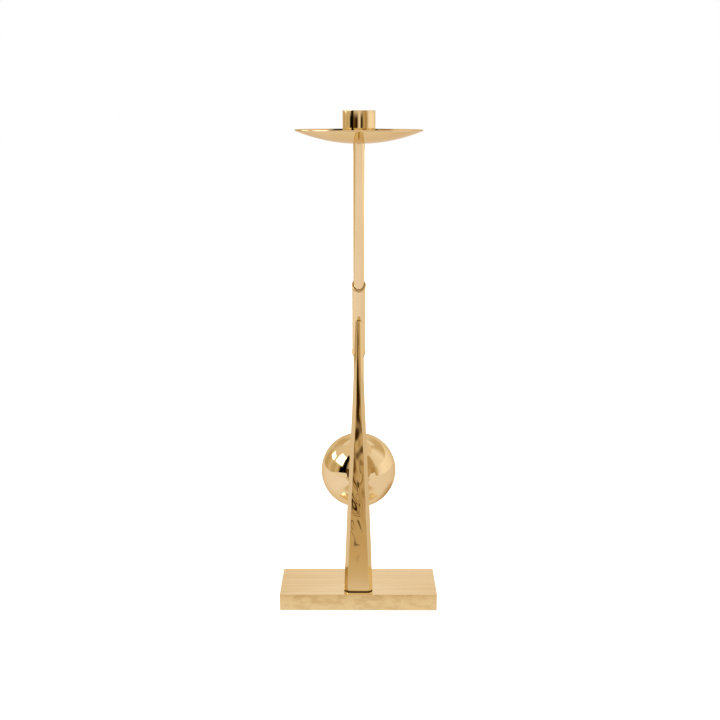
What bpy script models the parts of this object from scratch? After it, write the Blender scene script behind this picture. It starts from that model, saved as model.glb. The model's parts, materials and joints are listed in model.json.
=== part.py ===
"""A brass candle holder. A flat base carries a tapered post, and an oblique sleeve is brazed
behind the tip of the post. A leaning rod slides and turns in the sleeve: a solid ball at its
foot balances the drip dish and the candle cup at its head, which is cut level.

The origin is the middle of the felt underside, +Z is up and -Y is the front.
"""

import math

import bmesh
import bpy
from mathutils import Vector

MM = 0.001
GAP = 0.3 * MM  # between two pieces that touch
ROUND = 48  # sides of a large round piece
SMALL_ROUND = 24  # sides of a screw or a hole

# Base and felt
BASE_WIDTH = 135.0 * MM
BASE_DEPTH = 51.0 * MM
BASE_TOP = 15.0 * MM
BASE_EDGE = 0.4 * MM
FELT_THICKNESS = 0.7 * MM
FELT_INSET = 2.0 * MM
FELT_PROUD = 0.5 * MM  # how far the felt stands out of its recess

# Post
POST_FOOT_DEPTH = 15.3 * MM
POST_TIP_DEPTH = 6.0 * MM  # the back is upright, and the front leans back
POST_SETBACK = 5.0 * MM  # from the front edge of the base
POST_TOP = 251.0 * MM
POST_FOOT_WIDTH = 24.4 * MM
POST_TIP_WIDTH = 5.3 * MM
POST_SWAY = 0.028  # how far the sides swing off a straight taper, full low down, hollow high up
POST_CHAMFER = 2.8 * MM  # of all four upright edges
POST_CHAMFER_SHARE = 0.27  # of the width, where that is less
POST_TIP_ROUND = 0.8 * MM
POST_STATIONS = 16

# Screws that hold the post
SCREW_SPACING = 12.0 * MM
SCREW_RADIUS = 2.5 * MM
SCREW_HEAD_RADIUS = 4.25 * MM
SCREW_HEAD_HEIGHT = 5.0 * MM
SCREW_KEY_RADIUS = 2.3 * MM
SCREW_HEAD_SINK = 0.7 * MM  # from the roof of the felt's recess to the head
SCREW_REACH = 11.5 * MM  # into the post

# Arm axis: it crosses the middle plane of the base at this height and leans to the front
ARM_HEIGHT = 252.0 * MM
ARM_LEAN = math.radians(12.0)
ROD_RADIUS = 4.45 * MM
ROD_CHAMFER = 0.5 * MM

# Sleeve, with both ends cut on a slant, and its liner; lengths run along the arm axis
SLEEVE_RADIUS = 5.4 * MM
SLEEVE_BORE = 4.9 * MM
BEAD_RADIUS = 5.82 * MM
BEAD_LENGTH = 2.0 * MM
SLEEVE_UP = 29.65 * MM
SLEEVE_DOWN = 31.7 * MM
SLEEVE_CUT = math.radians(30.0)
LINER_RADIUS = 4.83 * MM
LINER_BORE = 4.52 * MM
LINER_UP = 24.0 * MM
LINER_DOWN = 26.0 * MM
RIB_RADIUS = 4.95 * MM
RIB_LENGTH = 1.6 * MM
GROOVE_RADIUS = 5.04 * MM
PEG_RADIUS = 1.0 * MM
PEG_LENGTH = 3.5 * MM
PEG_DOWN = 3.0 * MM

# Ball
BALL_RADIUS = 33.0 * MM
BALL_DOWN = 147.0 * MM
BALL_SOCKET_DEPTH = 6.0 * MM
STUD_RADIUS = 2.5 * MM
STUD_REACH = 11.0 * MM  # into the ball and into the rod

# Dish: a spherical shell with a flat middle
DISH_RADIUS = 49.1 * MM
DISH_BOTTOM = 393.6 * MM
DISH_SPHERE = 128.0 * MM
DISH_WALL = 1.2 * MM
DISH_FLAT = 9.0 * MM

# Cup and its screw
CUP_RADIUS = 12.5 * MM
CUP_BORE = 11.3 * MM
CUP_TOP = 418.1 * MM
CUP_FLOOR = 4.5 * MM
CUP_SINK_RADIUS = 4.4 * MM  # counterbore in the floor for the screw's head and washer
CUP_SINK_DEPTH = 3.1 * MM
CUP_FOOT_ROUND = 3.0 * MM
CUP_EDGE = 0.3 * MM
CUP_INNER_ROUND = 1.0 * MM
CUP_SCREW_RADIUS = 1.5 * MM
CUP_SCREW_HEAD_RADIUS = 3.0 * MM
CUP_SCREW_HEAD_HEIGHT = 1.6 * MM
CUP_SCREW_REACH = 8.0 * MM  # into the rod
WASHER_RADIUS = 4.0 * MM
WASHER_THICKNESS = 0.6 * MM

# Worked out from the sizes above
PLATE_BOTTOM = FELT_PROUD
RECESS_ROOF = FELT_THICKNESS + GAP
POST_FOOT = BASE_TOP + GAP
POST_BACK = -BASE_DEPTH / 2 + POST_SETBACK + POST_FOOT_DEPTH
POST_MIDDLE = POST_BACK - POST_FOOT_DEPTH / 2
ROD_TOP = DISH_BOTTOM - GAP
ROD_UP = (ROD_TOP - ARM_HEIGHT) / math.cos(ARM_LEAN)
ROD_DOWN = BALL_DOWN - math.sqrt(BALL_RADIUS**2 - (ROD_RADIUS + GAP) ** 2) + BALL_SOCKET_DEPTH


def clear_scene():
    for obj in list(bpy.data.objects):
        bpy.data.objects.remove(obj, do_unlink=True)


def material(name, colour, roughness, metallic):
    made = bpy.data.materials.new(name)
    made.use_nodes = True
    shader = made.node_tree.nodes["Principled BSDF"]
    shader.inputs["Base Color"].default_value = (*colour, 1.0)
    shader.inputs["Roughness"].default_value = roughness
    shader.inputs["Metallic"].default_value = metallic
    return made


def brass(name, roughness=0.12, colour=(0.79, 0.58, 0.30)):
    return material(name, colour, roughness, 1.0)


def steel(name):
    return material(name, (0.56, 0.55, 0.53), 0.3, 1.0)


def add_object(name, bm, finish=None, parent=None):
    """A named object from a bmesh, with its faces outwards and its round sides smooth."""
    bmesh.ops.recalc_face_normals(bm, faces=bm.faces)
    mesh = bpy.data.meshes.new(name)
    bm.to_mesh(mesh)
    bm.free()
    mesh.shade_smooth()
    mesh.set_sharp_from_angle(angle=math.radians(35.0))
    obj = bpy.data.objects.new(name, mesh)
    bpy.context.scene.collection.objects.link(obj)
    if finish:
        mesh.materials.append(finish)
    else:
        obj.hide_render = True
        obj.display_type = "WIRE"
    obj.parent = parent
    return obj


def frame(name, location, turn_x, parent=None):
    """An empty that holds pieces; turn_x leans it towards the front."""
    empty = bpy.data.objects.new(name, None)
    empty.empty_display_size = 10 * MM
    empty.location = location
    empty.rotation_euler = (turn_x, 0.0, 0.0)
    empty.parent = parent
    bpy.context.scene.collection.objects.link(empty)
    return empty


def turned_bmesh(profile, sides, ring=False):
    """A profile of (radius, height) points spun about Z. A ring's profile is closed; any other
    profile starts and ends on the axis."""
    bm = bmesh.new()
    verts = [bm.verts.new((radius, 0.0, height)) for radius, height in profile]
    ends = list(zip(verts, verts[1:]))
    if ring:
        ends.append((verts[-1], verts[0]))
    edges = [bm.edges.new(pair) for pair in ends]
    bmesh.ops.spin(
        bm, geom=verts + edges, cent=(0, 0, 0), axis=(0, 0, 1), angle=math.tau, steps=sides, use_merge=True
    )
    bmesh.ops.remove_doubles(bm, verts=bm.verts, dist=0.001 * MM)
    return bm


def arc(centre, radius, start, end, steps):
    """Points (radius, height) round a centre in the profile plane, from one angle to another."""
    angles = [start + (end - start) * step / steps for step in range(steps + 1)]
    return [(centre[0] + radius * math.cos(a), centre[1] + radius * math.sin(a)) for a in angles]


def cut(obj, cutter):
    modifier = obj.modifiers.new("cut_" + cutter.name, "BOOLEAN")
    modifier.operation = "DIFFERENCE"
    modifier.object = cutter


def box_bmesh(low, high):
    bm = bmesh.new()
    bmesh.ops.create_cube(bm, size=1.0)
    size = Vector(high) - Vector(low)
    middle = (Vector(high) + Vector(low)) / 2
    bmesh.ops.scale(bm, vec=size, verts=bm.verts)
    bmesh.ops.translate(bm, vec=middle, verts=bm.verts)
    return bm


def screw_places():
    return [Vector((side * SCREW_SPACING / 2, POST_MIDDLE, 0.0)) for side in (-1, 1)]


def make_base():
    half_width, half_depth = BASE_WIDTH / 2, BASE_DEPTH / 2
    low = (-half_width, -half_depth, PLATE_BOTTOM)
    high = (half_width, half_depth, BASE_TOP)
    plate = add_object("base_plate", box_bmesh(low, high), brass("base_brass", 0.28))
    bevel = plate.modifiers.new("edges", "BEVEL")
    bevel.width = BASE_EDGE
    bevel.segments = 2
    recess_x, recess_y = half_width - FELT_INSET + GAP, half_depth - FELT_INSET + GAP
    recess = box_bmesh((-recess_x, -recess_y, -RECESS_ROOF), (recess_x, recess_y, RECESS_ROOF))
    cut(plate, add_object("felt_recess", recess))
    roof = RECESS_ROOF + SCREW_HEAD_SINK + SCREW_HEAD_HEIGHT + GAP
    bore = SCREW_RADIUS + GAP
    counterbore = SCREW_HEAD_RADIUS + 2 * GAP
    profile = [
        (0.0, 0.0),
        (counterbore, 0.0),
        (counterbore, roof),
        (bore, roof),
        (bore, 2 * BASE_TOP),
        (0.0, 2 * BASE_TOP),
    ]
    for number, place in enumerate(screw_places(), 1):
        cutter = add_object(f"screw_hole_{number}", turned_bmesh(profile, SMALL_ROUND))
        cutter.location = place
        cut(plate, cutter)


def make_felt():
    half_width, half_depth = BASE_WIDTH / 2 - FELT_INSET, BASE_DEPTH / 2 - FELT_INSET
    low, high = (-half_width, -half_depth, 0.0), (half_width, half_depth, FELT_THICKNESS)
    felt = add_object("felt_pad", box_bmesh(low, high), material("felt", (0.03, 0.05, 0.035), 0.95, 0.0))
    bevel = felt.modifiers.new("edges", "BEVEL")
    bevel.width = FELT_THICKNESS / 4
    bevel.segments = 1


def post_width(share):
    """Width of the post at a share of its height, from 0 at the foot to 1 at the tip."""
    taper = share - POST_SWAY * math.sin(math.tau * share)
    return POST_FOOT_WIDTH - (POST_FOOT_WIDTH - POST_TIP_WIDTH) * taper


def post_section(share, inset):
    """A rectangle with chamfered corners, as points at one height; inset shrinks it all round."""
    width = post_width(share)
    depth = POST_FOOT_DEPTH - (POST_FOOT_DEPTH - POST_TIP_DEPTH) * share
    chamfer = min(POST_CHAMFER, POST_CHAMFER_SHARE * width)
    x = width / 2 - inset
    y = depth / 2 - inset
    middle = POST_BACK - depth / 2
    height = POST_FOOT + share * (POST_TOP - POST_FOOT)
    right = [(x, chamfer - y), (x, y - chamfer), (x - chamfer, y)]
    left = [(chamfer - x, y), (-x, y - chamfer), (-x, chamfer - y)]
    front = [(chamfer - x, -y), (x - chamfer, -y)]
    return [(px, middle + py, height) for px, py in right + left + front]


def make_post(arm_frame):
    bm = bmesh.new()
    rounded = POST_TIP_ROUND / (POST_TOP - POST_FOOT)
    stations = [(step / POST_STATIONS, 0.0) for step in range(POST_STATIONS)]
    for turn in (0.0, math.pi / 4, math.pi / 2):
        share = 1.0 - rounded * (1.0 - math.sin(turn))
        stations.append((share, POST_TIP_ROUND * (1.0 - math.cos(turn))))
    rings = [[bm.verts.new(point) for point in post_section(*station)] for station in stations]
    for lower, upper in zip(rings, rings[1:]):
        count = len(lower)
        for i in range(count):
            j = (i + 1) % count
            bm.faces.new((lower[i], lower[j], upper[j], upper[i]))
    bm.faces.new(rings[0])
    bm.faces.new(rings[-1])
    post = add_object("post", bm, brass("post_brass", 0.1))

    for number, place in enumerate(screw_places(), 1):
        top = POST_FOOT + SCREW_REACH + GAP
        profile = [(0.0, 0.0), (SCREW_RADIUS + GAP, 0.0), (SCREW_RADIUS + GAP, top), (0.0, top)]
        cutter = add_object(f"foot_hole_{number}", turned_bmesh(profile, SMALL_ROUND))
        cutter.location = place
        cut(post, cutter)

    reach = SLEEVE_UP
    seat = SLEEVE_RADIUS + GAP
    profile = [(0.0, -reach), (seat, -reach), (seat, reach), (0.0, reach)]
    cut(post, add_object("sleeve_seat", turned_bmesh(profile, ROUND), parent=arm_frame))

    far = seat + PEG_LENGTH + GAP
    bore = PEG_RADIUS + GAP
    profile = [(0.0, 0.0), (bore, 0.0), (bore, far), (0.0, far)]
    cut(post, place_forward(add_object("peg_hole", turned_bmesh(profile, SMALL_ROUND), parent=arm_frame)))


def place_forward(obj):
    """Lays a piece that was turned about Z along the arm's front direction, at the peg."""
    obj.location = (0.0, 0.0, -PEG_DOWN)
    obj.rotation_euler = (math.pi / 2, 0.0, 0.0)
    return obj


def make_post_screws():
    head = RECESS_ROOF + SCREW_HEAD_SINK
    shoulder = head + SCREW_HEAD_HEIGHT
    key_depth = SCREW_HEAD_HEIGHT / 2
    end = POST_FOOT + SCREW_REACH
    profile = [
        (0.0, head + key_depth),
        (SCREW_KEY_RADIUS, head + key_depth),
        (SCREW_KEY_RADIUS, head),
        (SCREW_HEAD_RADIUS, head),
        (SCREW_HEAD_RADIUS, shoulder),
        (SCREW_RADIUS, shoulder),
        (SCREW_RADIUS, end - 2 * GAP),
        (SCREW_RADIUS - 2 * GAP, end),
        (0.0, end),
    ]
    for number, place in enumerate(screw_places(), 1):
        finish = steel(f"post_screw_{number}_steel")
        screw = add_object(f"post_screw_{number}", turned_bmesh(profile, SMALL_ROUND), finish)
        screw.location = place


def slant(bm, low, high, slope):
    """Tilts the rings of points between two heights, so that they rise by slope to the back."""
    for vert in bm.verts:
        if low < vert.co.z < high:
            vert.co.z += slope * vert.co.y


def bead(middle):
    """The outer side of a bead, from its lower to its upper edge, as (radius, height)."""
    rise = BEAD_RADIUS - SLEEVE_RADIUS
    unit = arc((0.0, 0.0), 1.0, -math.pi / 2, math.pi / 2, 4)
    return [(SLEEVE_RADIUS + rise * out, middle + up * BEAD_LENGTH / 2) for out, up in unit]


def make_sleeve(arm_frame):
    groove = RIB_LENGTH / 2 + GAP
    profile = [
        *bead(BEAD_LENGTH / 2 - SLEEVE_DOWN),
        *bead(SLEEVE_UP - BEAD_LENGTH / 2),
        (SLEEVE_BORE, SLEEVE_UP),
        (SLEEVE_BORE, groove),
        (GROOVE_RADIUS, groove),
        (GROOVE_RADIUS, -groove),
        (SLEEVE_BORE, -groove),
        (SLEEVE_BORE, -SLEEVE_DOWN),
    ]
    bm = turned_bmesh(profile, ROUND, ring=True)
    beyond = 2 * BEAD_LENGTH
    slant(bm, SLEEVE_UP - beyond, 2 * SLEEVE_UP, math.tan(SLEEVE_CUT))
    slant(bm, -2 * SLEEVE_DOWN, beyond - SLEEVE_DOWN, math.tan(SLEEVE_CUT))
    add_object("sleeve", bm, brass("sleeve_brass", 0.16), arm_frame)


def make_peg(arm_frame):
    start = SLEEVE_RADIUS + GAP
    profile = [(0.0, start), (PEG_RADIUS, start), (PEG_RADIUS, start + PEG_LENGTH), (0.0, start + PEG_LENGTH)]
    place_forward(add_object("sleeve_peg", turned_bmesh(profile, SMALL_ROUND), brass("peg_brass"), arm_frame))


def make_liner(arm_frame):
    rib = RIB_LENGTH / 2
    slope = RIB_RADIUS - LINER_RADIUS
    profile = [
        (LINER_RADIUS, -LINER_DOWN),
        (LINER_RADIUS, -rib),
        (RIB_RADIUS, slope - rib),
        (RIB_RADIUS, rib - slope),
        (LINER_RADIUS, rib),
        (LINER_RADIUS, LINER_UP),
        (LINER_BORE, LINER_UP),
        (LINER_BORE, -LINER_DOWN),
    ]
    nylon = material("liner_nylon", (0.8, 0.78, 0.7), 0.5, 0.0)
    add_object("friction_liner", turned_bmesh(profile, ROUND, ring=True), nylon, arm_frame)


def make_rod(arm_frame, head_frame):
    stud_hole = STUD_RADIUS + GAP
    profile = [
        (0.0, -ROD_DOWN + STUD_REACH + GAP),
        (stud_hole, -ROD_DOWN + STUD_REACH + GAP),
        (stud_hole, -ROD_DOWN),
        (ROD_RADIUS - ROD_CHAMFER, -ROD_DOWN),
        (ROD_RADIUS, -ROD_DOWN + ROD_CHAMFER),
        (ROD_RADIUS, ROD_UP),
        (0.0, ROD_UP),
    ]
    bm = turned_bmesh(profile, ROUND)
    slant(bm, ROD_UP - GAP, ROD_UP + GAP, -math.tan(ARM_LEAN))
    rod = add_object("rod", bm, brass("rod_brass", 0.14), arm_frame)
    bore = CUP_SCREW_RADIUS + GAP
    deep = CUP_SCREW_REACH + 2 * GAP
    profile = [(0.0, -deep), (bore, -deep), (bore, deep), (0.0, deep)]
    cut(rod, add_object("rod_tap_hole", turned_bmesh(profile, SMALL_ROUND), parent=head_frame))


def make_ball(arm_frame):
    rim = ROD_RADIUS + GAP
    floor = -ROD_DOWN - GAP
    stud_hole = STUD_RADIUS + GAP
    socket = math.acos(rim / BALL_RADIUS)
    profile = arc((0.0, -BALL_DOWN), BALL_RADIUS, -math.pi / 2, socket, 24)
    profile[0] = (0.0, -BALL_DOWN - BALL_RADIUS)
    profile += [
        (rim, floor),
        (stud_hole, floor),
        (stud_hole, floor - STUD_REACH),
        (0.0, floor - STUD_REACH),
    ]
    add_object("ball", turned_bmesh(profile, ROUND), brass("ball_brass", 0.06), arm_frame)


def make_ball_stud(arm_frame):
    low, high = -ROD_DOWN - STUD_REACH, -ROD_DOWN + STUD_REACH
    chamfer = ROD_CHAMFER
    profile = [
        (0.0, low),
        (STUD_RADIUS - chamfer, low),
        (STUD_RADIUS, low + chamfer),
        (STUD_RADIUS, high - chamfer),
        (STUD_RADIUS - chamfer, high),
        (0.0, high),
    ]
    add_object("ball_stud", turned_bmesh(profile, SMALL_ROUND), steel("ball_stud_steel"), arm_frame)


def make_dish(head_frame):
    """The wall follows two spheres round one centre; its edge is a half circle."""
    middle_sphere = DISH_SPHERE - DISH_WALL / 2
    sag = DISH_SPHERE - math.sqrt(DISH_SPHERE**2 - DISH_FLAT**2)
    centre = (0.0, DISH_BOTTOM - ROD_TOP - sag + DISH_SPHERE)
    edge_angle = math.asin((DISH_RADIUS - DISH_WALL / 2) / middle_sphere)
    down = -math.pi / 2
    edge_centre = arc(centre, middle_sphere, down + edge_angle, 0.0, 1)[0]
    outer = arc(centre, DISH_SPHERE, down + math.asin(DISH_FLAT / DISH_SPHERE), down + edge_angle, 9)
    rim = arc(edge_centre, DISH_WALL / 2, down + edge_angle, down + edge_angle + math.pi, 4)[1:-1]
    inside = DISH_SPHERE - DISH_WALL
    flat = outer[0][1]
    inner = arc(centre, inside, down + edge_angle, down + math.asin(DISH_FLAT / inside), 9)
    inner[-1] = (DISH_FLAT, flat + DISH_WALL)
    hole = CUP_SCREW_RADIUS + GAP
    profile = [(hole, flat), *outer, *rim, *inner, (hole, flat + DISH_WALL)]
    add_object("dish", turned_bmesh(profile, ROUND, ring=True), brass("dish_brass", 0.15), head_frame)


def make_cup(head_frame):
    bottom = DISH_BOTTOM + DISH_WALL + GAP - ROD_TOP
    floor = bottom + CUP_FLOOR
    top = CUP_TOP - ROD_TOP
    hole = CUP_SCREW_RADIUS + GAP
    foot_centre = (CUP_RADIUS - CUP_FOOT_ROUND, bottom + CUP_FOOT_ROUND)
    inner_centre = (CUP_BORE - CUP_INNER_ROUND, floor + CUP_INNER_ROUND)
    profile = [
        (hole, bottom),
        *arc(foot_centre, CUP_FOOT_ROUND, -math.pi / 2, 0.0, 4),
        (CUP_RADIUS, top - CUP_EDGE),
        (CUP_RADIUS - CUP_EDGE, top),
        (CUP_BORE + CUP_EDGE, top),
        (CUP_BORE, top - CUP_EDGE),
        *arc(inner_centre, CUP_INNER_ROUND, 0.0, -math.pi / 2, 2),
        (CUP_SINK_RADIUS, floor),
        (CUP_SINK_RADIUS, floor - CUP_SINK_DEPTH),
        (hole, floor - CUP_SINK_DEPTH),
    ]
    add_object("cup", turned_bmesh(profile, ROUND, ring=True), brass("cup_brass", 0.12), head_frame)


def washer_bottom():
    """Height of the washer's underside over the rod's level end."""
    cup_bottom = DISH_BOTTOM + DISH_WALL + GAP - ROD_TOP
    return cup_bottom + CUP_FLOOR - CUP_SINK_DEPTH + GAP


def make_cup_washer(head_frame):
    low, high = washer_bottom(), washer_bottom() + WASHER_THICKNESS
    hole = CUP_SCREW_RADIUS + GAP
    profile = [(hole, low), (WASHER_RADIUS, low), (WASHER_RADIUS, high), (hole, high)]
    add_object("cup_washer", turned_bmesh(profile, SMALL_ROUND, ring=True), steel("washer_steel"), head_frame)


def make_cup_screw(head_frame):
    under_head = washer_bottom() + WASHER_THICKNESS + GAP
    top = under_head + CUP_SCREW_HEAD_HEIGHT
    end = -CUP_SCREW_REACH
    profile = [
        (0.0, end),
        (CUP_SCREW_RADIUS - GAP, end),
        (CUP_SCREW_RADIUS, end + GAP),
        (CUP_SCREW_RADIUS, under_head),
        (CUP_SCREW_HEAD_RADIUS, under_head),
        (CUP_SCREW_HEAD_RADIUS, top - 2 * GAP),
        (CUP_SCREW_HEAD_RADIUS - 2 * GAP, top),
        (0.0, top),
    ]
    screw = add_object("cup_screw", turned_bmesh(profile, SMALL_ROUND), steel("cup_screw_steel"), head_frame)
    half_slot = 0.4 * MM
    reach = 2 * CUP_SCREW_HEAD_RADIUS
    deep = CUP_SCREW_HEAD_HEIGHT / 2
    slot = box_bmesh((-reach, -half_slot, top - deep), (reach, half_slot, top + deep))
    cut(screw, add_object("driver_slot", slot, parent=head_frame))


def main():
    clear_scene()
    arm_frame = frame("arm_frame", (0.0, 0.0, ARM_HEIGHT), ARM_LEAN)
    head_frame = frame("head_frame", (0.0, 0.0, ROD_UP), -ARM_LEAN, arm_frame)
    make_base()
    make_felt()
    make_post(arm_frame)
    make_post_screws()
    make_sleeve(arm_frame)
    make_peg(arm_frame)
    make_liner(arm_frame)
    make_rod(arm_frame, head_frame)
    make_ball(arm_frame)
    make_ball_stud(arm_frame)
    make_dish(head_frame)
    make_cup(head_frame)
    make_cup_washer(head_frame)
    make_cup_screw(head_frame)


main()
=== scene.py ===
# %% [markdown]
# # A brass candle holder that leans and balances
#
# The holder is a flat base with a tapered post. A rod leans through a sleeve behind the tip of the
# post: a heavy ball at its foot balances the drip dish and the candle cup at its head. The packed
# model is the fixed frame: it says where every piece is, and this script gives each piece its
# surface and its finish. Lengths are metres, +Z is up and -Y is the front.

import json
import math

import bpy
import numpy as np
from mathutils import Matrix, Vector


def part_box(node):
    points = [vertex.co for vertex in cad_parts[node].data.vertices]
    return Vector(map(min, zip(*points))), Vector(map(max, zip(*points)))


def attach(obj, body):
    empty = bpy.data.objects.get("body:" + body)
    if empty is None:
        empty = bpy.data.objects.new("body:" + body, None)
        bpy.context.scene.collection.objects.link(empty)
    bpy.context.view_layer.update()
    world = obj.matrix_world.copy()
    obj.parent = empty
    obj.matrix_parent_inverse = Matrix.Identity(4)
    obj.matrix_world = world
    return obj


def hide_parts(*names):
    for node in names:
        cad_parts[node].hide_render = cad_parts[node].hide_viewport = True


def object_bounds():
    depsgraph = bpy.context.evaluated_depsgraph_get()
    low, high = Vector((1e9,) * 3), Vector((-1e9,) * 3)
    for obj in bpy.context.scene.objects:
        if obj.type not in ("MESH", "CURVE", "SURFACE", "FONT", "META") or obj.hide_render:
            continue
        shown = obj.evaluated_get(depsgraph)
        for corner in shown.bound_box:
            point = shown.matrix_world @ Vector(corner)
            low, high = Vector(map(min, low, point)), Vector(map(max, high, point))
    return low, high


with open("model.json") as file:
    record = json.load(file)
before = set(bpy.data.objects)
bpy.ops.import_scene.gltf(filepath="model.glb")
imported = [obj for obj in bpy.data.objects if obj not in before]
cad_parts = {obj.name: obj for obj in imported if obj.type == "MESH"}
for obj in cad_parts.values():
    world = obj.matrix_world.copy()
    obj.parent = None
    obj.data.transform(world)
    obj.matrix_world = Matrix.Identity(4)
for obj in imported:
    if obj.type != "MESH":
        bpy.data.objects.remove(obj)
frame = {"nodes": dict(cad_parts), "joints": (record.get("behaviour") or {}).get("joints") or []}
cad_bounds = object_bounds()
MM = 0.001
cad_sides = [round(side / MM, 1) for side in cad_bounds[1] - cad_bounds[0]]
print("frame:", len(frame["nodes"]), "nodes,", cad_sides, "mm")

# %% [markdown]
# ## Driving sizes
#
# Whatever the frame can say is read from it: the boxes of the pieces, and the axis that the rod
# turns and slides on. The few sizes that a box can't show, such as a wall or a fillet, are named
# here as a maker would write them on a drawing.

# %% Sizes from the frame


def box_size(node):
    """The lowest and the highest corner of a node, and its size along each axis."""
    low, high = (np.array(corner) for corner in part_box(node))
    return low, high, high - low


axis_joint = frame["joints"][0]
AXIS_POINT = np.array(axis_joint["pos_m"])
LEAN = math.asin(-axis_joint["axis"][1])
BASE_LOW, BASE_HIGH = box_size("base_plate")[:2]
POST_LOW, POST_HIGH = box_size("post")[:2]
BALL_RADIUS = box_size("ball")[2][0] / 2
ROD_RADIUS = box_size("rod")[2][0] / 2
BEAD_RADIUS = box_size("sleeve")[2][0] / 2
DISH_LOW, _, DISH_SIZE = box_size("dish")
CUP_LOW, CUP_HIGH, CUP_SIZE = box_size("cup")
HEAD_Y = (CUP_LOW[1] + CUP_HIGH[1]) / 2
print("lean", round(math.degrees(LEAN), 1), "degrees, ball", round(2 * BALL_RADIUS / MM, 1), "mm across")

# %% [markdown]
# ## Surfaces from arrays
#
# Nearly every piece here is turned, drawn or filed, so one kind of surface serves them all: a
# stack of closed rings of points, skinned with quads. A turned piece is a profile of (radius,
# height) carried round its axis. Working on whole arrays keeps the formula of a shape in one
# line, and it leaves thousands of fine faces, which mirror-bright metal needs: a facet that is
# hidden on wood shows at once as a kink in a reflection.

# %% Skin, turn and round
SHARP_ANGLE = math.radians(40.0)


def skin(name, rings, looped=False):
    """A closed surface through an array of rings x points x 3. Each quad joins two neighbours on one
    ring to the same two on the next. A looped stack joins its last ring to its first. Otherwise both
    end rings are single points, the poles, and get a fan of triangles."""
    count, sides = rings.shape[:2]
    number = np.arange(count * sides).reshape(count, sides)
    if not looped:
        number[0], number[-1] = number[0, 0], number[-1, 0]
    above = np.roll(number, -1, 0)
    corners = np.stack([number, np.roll(number, -1, 1), np.roll(above, -1, 1), above], -1)
    if looped:
        quads, fans = corners.reshape(-1, 4), np.zeros((0, 3), int)
    else:
        quads = corners[1:-2].reshape(-1, 4)
        fans = np.concatenate([corners[0][:, [0, 2, 3]], corners[-2][:, :3]])
    used = np.unique(number)
    place = np.zeros(count * sides, int)
    place[used] = np.arange(len(used))
    mesh = bpy.data.meshes.new(name)
    mesh.from_pydata(rings.reshape(-1, 3)[used], [], place[quads].tolist() + place[fans].tolist())
    mesh.shade_smooth()
    mesh.set_sharp_from_angle(angle=SHARP_ANGLE)
    piece = bpy.data.objects.new(name, mesh)
    bpy.context.scene.collection.objects.link(piece)
    print(f"{name}: {2 * len(quads) + len(fans)} triangles")
    return piece


def turn(profile, sides):
    """Rings of a turned piece: x = radius cos(angle), y = radius sin(angle), z = height."""
    radius, height = np.array(profile).T[:, :, None]
    angle = np.linspace(0.0, math.tau, sides, endpoint=False)[None, :]
    return np.stack([radius * np.cos(angle), radius * np.sin(angle), height + 0 * angle], -1)


def rounded(corners, steps):
    """An outline of (radius, height, fillet) corners. A corner with a fillet becomes the arc that
    touches both its sides: the arc's centre lies on the bisector, fillet / sin(half angle) away."""
    points = []
    for number, (*corner, fillet) in enumerate(corners):
        corner = np.array(corner)
        if fillet == 0.0:
            points.append(corner)
            continue
        sides = [np.array(corners[(number + step) % len(corners)][:2]) - corner for step in (-1, 1)]
        back, ahead = (side / np.linalg.norm(side) for side in sides)
        half = math.acos(np.clip(back @ ahead, -1.0, 1.0)) / 2
        centre = corner + (back + ahead) / np.linalg.norm(back + ahead) * fillet / math.sin(half)
        first, last = (corner + side * fillet / math.tan(half) - centre for side in (back, ahead))
        swing = math.atan2(first[0] * last[1] - first[1] * last[0], first @ last)
        turns = np.linspace(0.0, swing, steps + 1)[:, None]
        normal = np.array([-first[1], first[0]])
        points.extend(centre + np.cos(turns) * first + np.sin(turns) * normal)
    return points


def arc(centre, radius, start, end, steps):
    """Points centre + radius (cos(angle), sin(angle)) from the start angle to the end angle."""
    angle = np.linspace(start, end, steps + 1)
    return list(np.array(centre) + radius * np.stack([np.cos(angle), np.sin(angle)], -1))


def on_arm(points):
    """From the arm's own frame, with z along the rod, to the holder's frame: turned about X by the
    lean, so y' = y cos - z sin and z' = y sin + z cos, then moved to the axis point."""
    x, y, z = np.moveaxis(points, -1, 0)
    sine, cosine = math.sin(LEAN), math.cos(LEAN)
    return np.stack([x, y * cosine - z * sine, y * sine + z * cosine], -1) + AXIS_POINT


def finished(piece, body, node, material):
    """A new piece takes its material, rides on its body and stands for its CAD node."""
    piece.data.materials.append(material)
    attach(piece, body)
    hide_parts(node)
    return piece


# %% [markdown]
# ## A way to write materials
#
# A material is a small sum: a colour here, a little more roughness there. Wired node by node it
# takes pages, so a wire is wrapped in a class that knows arithmetic. An expression on wires adds
# the Math nodes, colours go through Mix nodes, and every other node comes from one method.

# %% Wires and sheets


class Wire:
    """One output of a node. Arithmetic with numbers or other wires adds Math nodes."""

    def __init__(self, sheet, socket):
        self.sheet, self.socket = sheet, socket

    def math(self, operation, first, second):
        return self.sheet.add("ShaderNodeMath", {"operation": operation}, {0: first, 1: second})

    def __add__(self, other):
        return self.math("ADD", self, other)

    def __sub__(self, other):
        return self.math("SUBTRACT", self, other)

    def __rsub__(self, other):
        return self.math("SUBTRACT", other, self)

    def __mul__(self, other):
        return self.math("MULTIPLY", self, other)

    def __truediv__(self, other):
        return self.math("DIVIDE", self, other)

    __radd__, __rmul__ = __add__, __mul__

    def step(self, low, high):
        """0 below low, 1 above high, and a smooth rise between them."""
        values = {"Value": self, "From Min": low, "From Max": high}
        return self.sheet.add("ShaderNodeMapRange", {"interpolation_type": "SMOOTHSTEP"}, values)

    def within(self, low, high, soft):
        """1 between two values and 0 outside, with edges as wide as soft."""
        return self.step(low - soft, low) * (1 - self.step(high, high + soft))


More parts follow.
